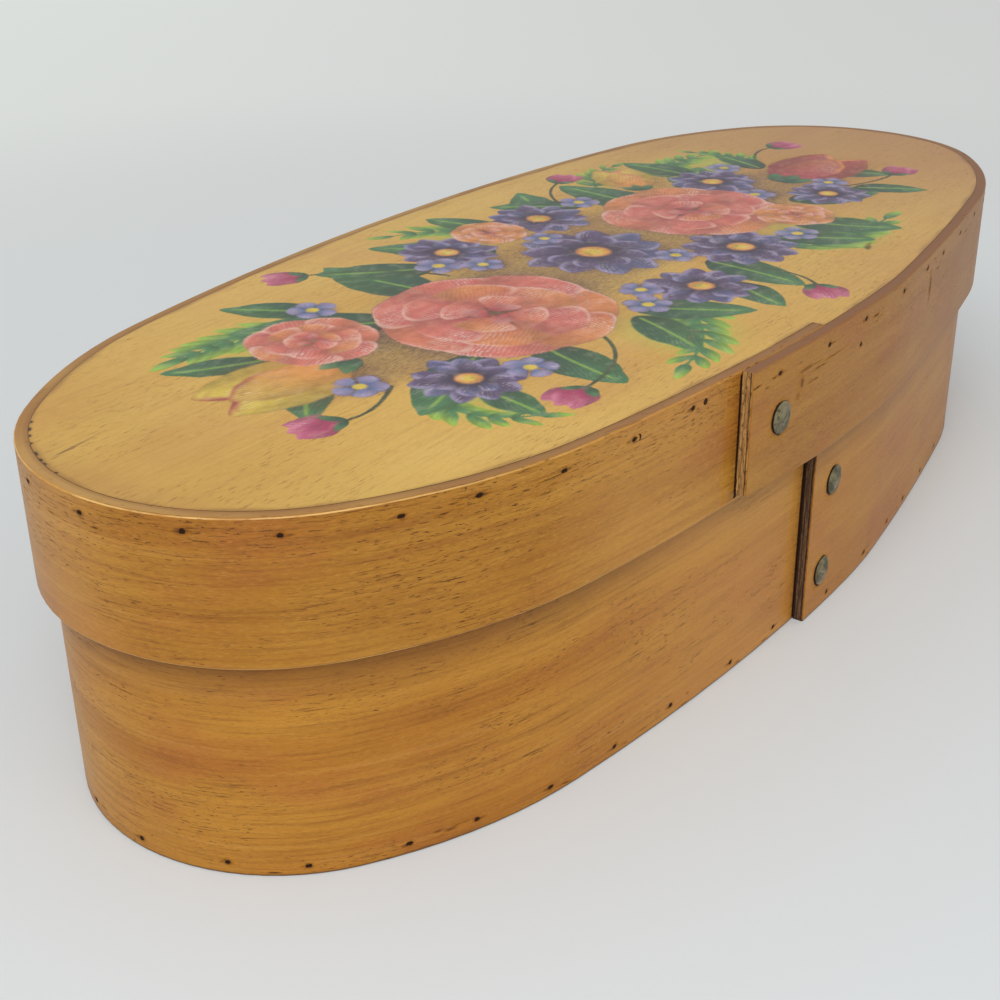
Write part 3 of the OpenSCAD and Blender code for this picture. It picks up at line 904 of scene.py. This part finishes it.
def rose(centre, reach, turn, outer=CORAL, edge=SHELL_PINK, heart=DEEP_ROSE):
    """A full rose: wide outer petals, a cup of smaller ones and a tight heart."""
    centre = np.asarray(centre, float)
    haze(centre + (1.5, -2), reach * 1.18)
    rings = ((7, 0.2, 0.82, 0.92), (6, 0.1, 0.66, 0.7), (4, 0.02, 0.42, 0.5))
    for ring, (count, foot, length, width) in enumerate(rings):
        for k in hand.permutation(count):
            angle = turn + 2 * math.pi * (k + 0.5 * ring) / count + hand.uniform(-0.1, 0.1)
            warm = mixed(outer, APRICOT, hand.choice((0, 0, 0.25, 0.7)))
            size = reach * length * hand.uniform(0.94, 1.05)
            petal(centre + towards(angle) * foot * reach, angle, size, reach * width,
                  mixed(heart, warm, 0.15 + 0.1 * ring), warm, full=1.9, soft=0.5, light=0.85,
                  rim=edge, lean=hand.choice((-0.7, 0.7)))
    for k in range(3):
        angle = turn + 2.1 * k
        petal(centre - towards(angle) * reach * 0.1, angle + 1.2, reach * 0.3, reach * 0.17, heart,
              mixed(heart, edge, 0.5), full=1.2, soft=0.4, light=0.3)


def aster(centre, reach, turn, deep=INDIGO, bright=VIOLET, edge=LILAC):
    """An aster: narrow blue-violet petals in two rounds about a yellow eye."""
    centre = np.asarray(centre, float)
    haze(centre + (1, -1.5), reach * 1.15, INDIGO, 0.35)
    for ring, (count, length, width) in enumerate(((11, 0.86, 0.44), (8, 0.6, 0.36))):
        for k in hand.permutation(count):
            angle = turn + 2 * math.pi * (k + 0.5 * ring) / count + hand.uniform(-0.07, 0.07)
            hue = mixed(bright, SKY, hand.choice((0, 0, 0.5)))
            size = reach * length * hand.uniform(0.92, 1.06)
            petal(centre + towards(angle) * reach * 0.12, angle, size, reach * width, deep, hue,
                  full=1.5, soft=0.45, light=0.6, rim=edge, lean=hand.choice((-0.6, 0.6)))
    where, gap = round_patch(centre, reach)
    lay(where, ease(gap, 0.26, 0.18), mixed(APRICOT, CANARY, ease(gap, 0.22, 0.05)), 0, 0.2, 0.6)


def tulip(foot, angle, length, deep, bright, edge):
    """A tulip in side view: two outer petals behind, one in front, on a green cup."""
    foot = np.asarray(foot, float)
    haze(foot + towards(angle) * length * 0.45 + (1, -2), length * 0.62)
    for side in (-1, 1):
        petal(foot, angle + side * 0.30, length * 0.98, length * 0.46, deep, bright, full=1.0,
              bend=-side * 0.12, rim=edge, light=0.5, lean=side * 0.8)
    for side in (-1, 1):
        petal(foot, angle + side * 0.1, length * 0.93, length * 0.4, mixed(deep, bright, 0.3),
              bright, full=1.1, bend=side * 0.06, rim=edge, light=0.6, lean=side * 0.6)
    petal(foot, angle, length * 0.84, length * 0.42, deep, mixed(bright, edge, 0.3), full=1.15,
          rim=edge, light=0.7)
    for side in (-1, 0, 1):
        petal(foot - towards(angle) * 2, angle + side * 0.7, length * 0.26, length * 0.14, PINE,
              LEAF_GREEN, full=0.9, light=0.2)


def bud(foot, angle, length):
    """A small closed bud in magenta with a green calyx."""
    foot = np.asarray(foot, float)
    for side in (-1, 1, 0):
        petal(foot, angle + side * 0.35, length, length * 0.62, MAGENTA,
              mixed(MAGENTA, PALE_MAGENTA, 0.4), full=0.9, rim=PALE_MAGENTA, light=0.8, soft=0.45,
              lean=side * 0.7)
    for side in (-1, 1):
        petal(foot - towards(angle) * 0.8, angle + side * 0.8, length * 0.5, length * 0.24, PINE,
              LEAF_GREEN, full=0.9, light=0.1, soft=0.4)


def sprig(points, count, length, deep=LEAF_GREEN, bright=LIME):
    """A feathery sprig: a thin curved stem with small leaflets in pairs and one at the end."""
    a, b, c = (np.asarray(p, float) for p in points)
    haze((a + c) / 2, np.hypot(*(c - a)) * 0.55, LIME, 0.35)
    stem(points, 0.7, deep)
    for k in range(count):
        t = (k + 1) / (count + 1)
        at = on_curve(a, b, c, t)
        run = (1 - t) * (b - a) + t * (c - b)
        heading = math.atan2(run[1], run[0])
        for side in (-1, 1):
            size = length * (1.1 - 0.6 * t) * hand.uniform(0.85, 1.15)
            heading_out = heading + side * hand.uniform(0.6, 0.85)
            petal(at, heading_out, size, size * 0.36, deep, bright, full=0.9, bend=-side * 0.15,
                  light=0.3, soft=0.45, lean=side)
    petal(c, heading, length * 0.7, length * 0.25, deep, bright, full=0.9, soft=0.45)


def forget_me_not(centre, reach, turn, deep=SKY, bright=LILAC):
    """A small five-petalled flower with a yellow eye."""
    centre = np.asarray(centre, float)
    haze(centre + (0.6, -0.8), reach * 1.3, PLUM, 0.35)
    for k in range(5):
        petal(centre, turn + 2 * math.pi * k / 5, reach, reach * 0.82, deep, bright, full=1.9,
              soft=0.4, light=0.5, dark=0.2, lean=0.6)
    where, gap = round_patch(centre, reach)
    lay(where, ease(gap, 0.3, 0.2), CANARY, 0, 0, 0.3)


# A soft dark ground ties the garland together. Leaves and sprigs go down on it, then tulips,
# asters and buds, and last the roses in front.
for centre, reach in (
    ((-64, 0), 46),
    ((-22, 4), 44),
    ((20, 4), 44),
    ((60, 2), 42),
    ((94, 0), 34),
    ((-100, 0), 36),
):
    haze(centre, reach, PLUM, 0.42)
for points, count, length in (
    (((-96, 28), (-116, 42), (-132, 40)), 6, 17),
    (((-30, -40), (-44, -60), (-70, -64)), 7, 15),
    (((30, -38), (48, -56), (78, -54)), 7, 16),
    (((84, 26), (104, 42), (124, 36)), 6, 16),
    (((2, 34), (-2, 56), (-20, 64)), 5, 14),
    (((-118, -22), (-130, -40), (-116, -52)), 5, 12),
    (((60, 40), (76, 56), (92, 54)), 5, 12),
    (((120, 12), (134, 26), (128, 40)), 5, 11),
):
    sprig(points, count, length)
for foot, angle, length, width, bend in (
    ((-84, 14), 130, 42, 20, 0.12),
    ((-58, 20), 95, 40, 20, -0.1),
    ((-92, -18), 205, 40, 19, -0.12),
    ((-78, -28), 245, 32, 17, 0.1),
    ((-40, -30), 290, 34, 16, 0.12),
    ((-18, 28), 110, 38, 17, 0.12),
    ((22, 30), 62, 38, 18, -0.1),
    ((50, 14), 72, 42, 20, 0.1),
    ((74, 6), 40, 40, 19, -0.12),
    ((60, -30), 282, 34, 18, 0.1),
    ((82, -20), 325, 38, 18, 0.12),
    ((8, -28), 265, 34, 17, -0.1),
    ((-128, 4), 215, 24, 12, 0.1),
    ((124, -10), 300, 26, 13, -0.12),
    ((118, 8), 60, 26, 12, 0.1),
    ((-46, -36), 248, 30, 14, -0.1),
    ((-6, -44), 235, 24, 12, 0.1),
    ((40, -34), 305, 30, 15, -0.1),
    ((-40, 34), 142, 34, 16, -0.12),
    ((2, 40), 88, 28, 14, 0.1),
    ((40, 34), 118, 30, 14, 0.12),
    ((-110, -32), 262, 22, 11, -0.1),
    ((-122, 22), 152, 26, 12, -0.1),
    ((96, 24), 78, 30, 15, 0.1),
    ((110, -30), 300, 24, 12, -0.1),
    ((-88, 34), 112, 28, 13, 0.1),
):
    leaf(foot, math.radians(angle), length, width, bend)
for points in (
    ((-44, 26), (-48, 48), (-66, 60)),
    ((36, 36), (44, 54), (62, 58)),
    ((-62, -34), (-72, -52), (-96, -52)),
    ((8, -40), (14, -54), (4, -64)),
    ((100, -18), (116, -34), (134, -34)),
    ((126, 14), (140, 24), (150, 20)),
    ((-120, -14), (-134, -22), (-142, -18)),
):
    stem(points)
    end = np.asarray(points[2], float) - np.asarray(points[1], float)
    bud(points[2], math.atan2(end[1], end[0]), 13)
tulip((-112, 6), math.radians(172), 42, APRICOT, CANARY, BRICK)
tulip((106, -6), math.radians(-4), 46, DEEP_ROSE, BRICK, APRICOT)
tulip((70, 30), math.radians(52), 30, APRICOT, CANARY, CORAL)
for centre, reach, turn in (
    ((-106, -26), 15, 0.2),
    ((-26, 40), 16, 0.5),
    ((-14, -38), 16, 0.1),
    ((92, 14), 16, 0.7),
    ((98, -26), 14, 0.4),
    ((26, -30), 18, 0.9),
    ((20, 38), 17, 0.3),
    ((-2, 4), 23, 0.0),
):
    aster(centre, reach, turn)
for centre, reach, turn in (
    ((-38, 34), 7.5, 0.2),
    ((-30, 24), 6.5, 1.0),
    ((-36, -34), 7, 0.6),
    ((-26, -26), 6.5, 0.0),
    ((44, 38), 7, 0.3),
    ((2, 24), 6.5, 0.9),
    ((8, -18), 6.5, 0.4),
    ((84, -6), 7, 0.2),
    ((112, 20), 6.5, 0.8),
    ((112, -20), 6.5, 0.1),
    ((-92, -34), 7, 0.5),
    ((-88, 38), 7, 1.1),
    ((-124, -8), 7, 0.3),
    ((48, -38), 7, 0.7),
):
    forget_me_not(centre, reach, turn)
rose((-64, -4), 33, 0.3)
rose((54, 2), 29, 0.8)
rose((-106, 22), 17, 1.2)
rose((-2, 42), 12, 0.4, APRICOT)
rose((68, -28), 13, 0.1, APRICOT)

# Wear on the board: a long scratch at the left end, two dents near the front and a smudge.
for centre, long, tall, turn, strength in (
    ((-184.8, 20.3), 7.0, 0.8, 6, 0.5),
    ((-176.5, 21.4), 4.0, 0.6, 4, 0.3),
    ((45.6, -61.6), 3.2, 1.3, 20, 0.65),
    ((49.5, -60.6), 2.0, 0.8, 10, 0.4),
    ((-54, -56.1), 3.4, 0.9, 25, 0.35),
    ((-48, -55.2), 1.8, 1.3, 60, 0.25),
    ((-150, -30), 5.0, 0.6, -8, 0.25),
):
    where = paint_near(centre, long * 1.5 + 1)
    ahead, aside = ahead_and_aside(where, centre, math.radians(turn))
    gap = np.hypot(ahead / long, aside / tall)
    lay(where, ease(gap, 1.25, 0.4) * strength, WORN_BROWN)

# The film is a fine flat sheet over what is painted, laid on the board with the board's own grain.
film_keep = paint_cover > THINNEST_PAINT
film_cells = film_keep[:-1, :-1] | film_keep[1:, :-1] | film_keep[:-1, 1:] | film_keep[1:, 1:]
FILM_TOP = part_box("lid_board")[1].z / MM + FILM_LIFT


def film_place(used):
    sunk = MARK_SINK * ease(paint_cover[used], 0.045, THINNEST_PAINT)
    return np.stack([paint_x[used], paint_y[used], FILM_TOP - FILM_LIFT * (sunk > 0) - sunk], 1)


lid_painting = thin_sheet("lid_painting", film_cells, film_place, {
    "paint": lambda used: paint_colour[used],
    "strokes": lambda used: np.stack([paint_phase, paint_light, paint_dark], 2)[used],
    "cover": lambda used: paint_cover[used],
})


def pastel(name, ground, shade):
    """Pastel rubbed into the board: it catches the grain, and fine strokes lie over it."""
    look = Finish(name)
    wood, pores = board_look(look, ground, shade)
    place = look.place()
    tooth = look.grain(place, (500, 1700, 100), rough=0.65)
    smear = look.grain(place, (70, 110, 70))
    blots = look.grain(place, (240, 300, 100))
    wander = look.grain(place, (130, 130, 130))
    phase, light, dark = look.split(look.attribute("strokes"))
    phase = look.plus(phase, look.times(wander, 3.2))
    wave = look.math("SINE", look.times(phase, 2 * math.pi))
    broken = look.times(look.ramp(smear, 0.38, 0.6), look.ramp(tooth, 0.38, 0.6))
    chalk = look.plus(look.ramp(wave, 0.1, 0.9, 0, 0.7), look.ramp(tooth, 0.45, 0.65, 0, 0.5))
    pale = look.times(look.times(chalk, light), broken, clamp=True)
    deep = look.times(look.ramp(wave, -0.2, -0.9), dark)
    deep = look.times(deep, look.ramp(tooth, 0.35, 0.6))
    paint = look.attribute("paint")
    colour = look.layers(paint, (
        (blots, 0.45, 0.7, 0.4, look.blend(0.45, paint, srgb(30, 20, 30))),
        (blots, 0.5, 0.3, 0.3, look.blend(0.3, paint, srgb(250, 230, 200))),
    ))
    colour = look.blend(look.times(deep, 0.6), colour, srgb(44, 34, 40))
    colour = look.blend(look.times(pale, 0.75), colour, srgb(244, 232, 222))
    laid = look.attribute("cover", "Fac")
    cover = look.ramp(look.minus(laid, look.times(tooth, 0.6)), -0.2, 0.5, 0, 0.95)
    cover = look.times(cover, look.ramp(laid, 0.0, 0.12))
    colour = look.blend(cover, wood, colour)
    look.relief(look.times(pores, -1), 0.00006)
    return look.finish(colour, 0.36)


lid_painting.data.materials.append(pastel("pastel_on_board", LID_GROUND, LID_SHADE))
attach(lid_painting, "lid")

# Dirt has settled in the seam between the board and its band, with painted shade along it. Both
# fade into the board, and at the left end the painted shade stands as a row of dark specks, given
# as (turn round the tip, half length).
SEAM_STEP = 0.5
SEAM_UNDER_PAINT = 0.01
SEAM_INSETS = (0.03, 0.2, 0.4, 0.7, 1.1, 1.7, 2.6, 3.6)
SEAM_SPECKS = (
    (46, 1.0),
    (41.6, 1.4),
    (37.6, 1.0),
    (33, 0.7),
    (26.6, 1.6),
    (22.6, 1.2),
    (20, 1.0),
    (14, 0.8),
)
seam_start = run_at(LID_LAP[1] + 0.5, LID_LAP, 0, True)
seam_end = along_strip(np.zeros((1, 2)), LID_LAP, 0)[2] - 0.2
seam_run, seam_in = np.meshgrid(
    np.arange(seam_start, seam_end, SEAM_STEP), SEAM_INSETS, indexing="ij")
seam_wander = 0.5 + 0.3 * np.sin(0.11 * seam_run) + 0.2 * np.sin(0.31 * seam_run + 2)
dirt_and_shade_in_seam = ease(seam_in, 0.8 + 1.9 * seam_wander, 0.0) * (0.16 + 0.26 * seam_wander)
tip_run = sum((high - low) * radius for _, radius, low, high in strip_path(LID_LAP)[:8])
for turn, long in SEAM_SPECKS:
    speck_run = tip_run + (TIP_TURN - math.radians(turn)) * TIP_RADIUS
    speck_gap = np.hypot((seam_run - speck_run) / long, (seam_in - 0.15) / 0.6)
    dirt_and_shade_in_seam = np.maximum(dirt_and_shade_in_seam, ease(speck_gap, 1.3, 0.5))
seam_cells = np.ones((seam_run.shape[0] - 1, seam_run.shape[1] - 1), bool)


def seam_place(used):
    sunk = (FILM_LIFT + MARK_SINK) * (seam_in[used] == SEAM_INSETS[-1])
    plan = on_strip(seam_run[used], LID_LAP, -BAND_THICKNESS - seam_in[used])
    return np.column_stack([plan, FILM_TOP - SEAM_UNDER_PAINT - sunk])


seam_film = thin_sheet(
    "lid_seam_dirt_and_shade", seam_cells, seam_place, {"mark": lambda used: dirt_and_shade_in_seam[used]})
seam_film.data.materials.append(lid_honey_board)
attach(seam_film, "lid")

# The rivets have low domed heads of brass that has gone dull and greenish brown. Each is set
# through both layers of a lap and spread inside.


def old_brass(name):
    look = Finish(name)
    place = look.place()
    patina = look.grain(place, (260, 260, 260), detail=4)
    spots = look.grain(place, (1400, 1400, 1400), detail=2)
    colour = look.blend(look.ramp(patina, 0.35, 0.65), srgb(146, 134, 100), srgb(92, 88, 66))
    colour = look.blend(look.ramp(spots, 0.5, 0.68, 0, 0.7), colour, srgb(60, 50, 34))
    # Painted shade darkens the edge of each head.
    rim = look.ramp(look.math("ABSOLUTE", look.facing()[1]), 0.55, 0.9, 1, 0)
    colour = look.blend(look.times(rim, 0.85), colour, srgb(40, 32, 22))
    look.shader.inputs["Metallic"].default_value = 0.7
    look.relief(patina, 0.0002)
    return look.finish(colour, look.ramp(patina, 0.3, 0.7, 0.3, 0.55))


rivet_brass = old_brass("rivet_brass")
for rivet in ("lid_rivet", "base_rivet_upper", "base_rivet_lower"):
    dress(rivet, rivet_brass)

# The nails are thin steel, black with age. They are driven through the bands into the edges of
# the boards and lie flush with the strip all round.


def black_steel(name):
    look = Finish(name)
    place = look.place()
    rust = look.grain(place, (900, 900, 900))
    colour = look.blend(look.ramp(rust, 0.35, 0.65), srgb(36, 20, 12), srgb(78, 42, 22))
    look.shader.inputs["Specular IOR Level"].default_value = 0.1
    return look.finish(colour, look.ramp(rust, 0.3, 0.7, 0.5, 0.75))


nail_steel = black_steel("nail_steel")
for nails in ("lid_nails", "base_nails"):
    dress(nails, nail_steel)
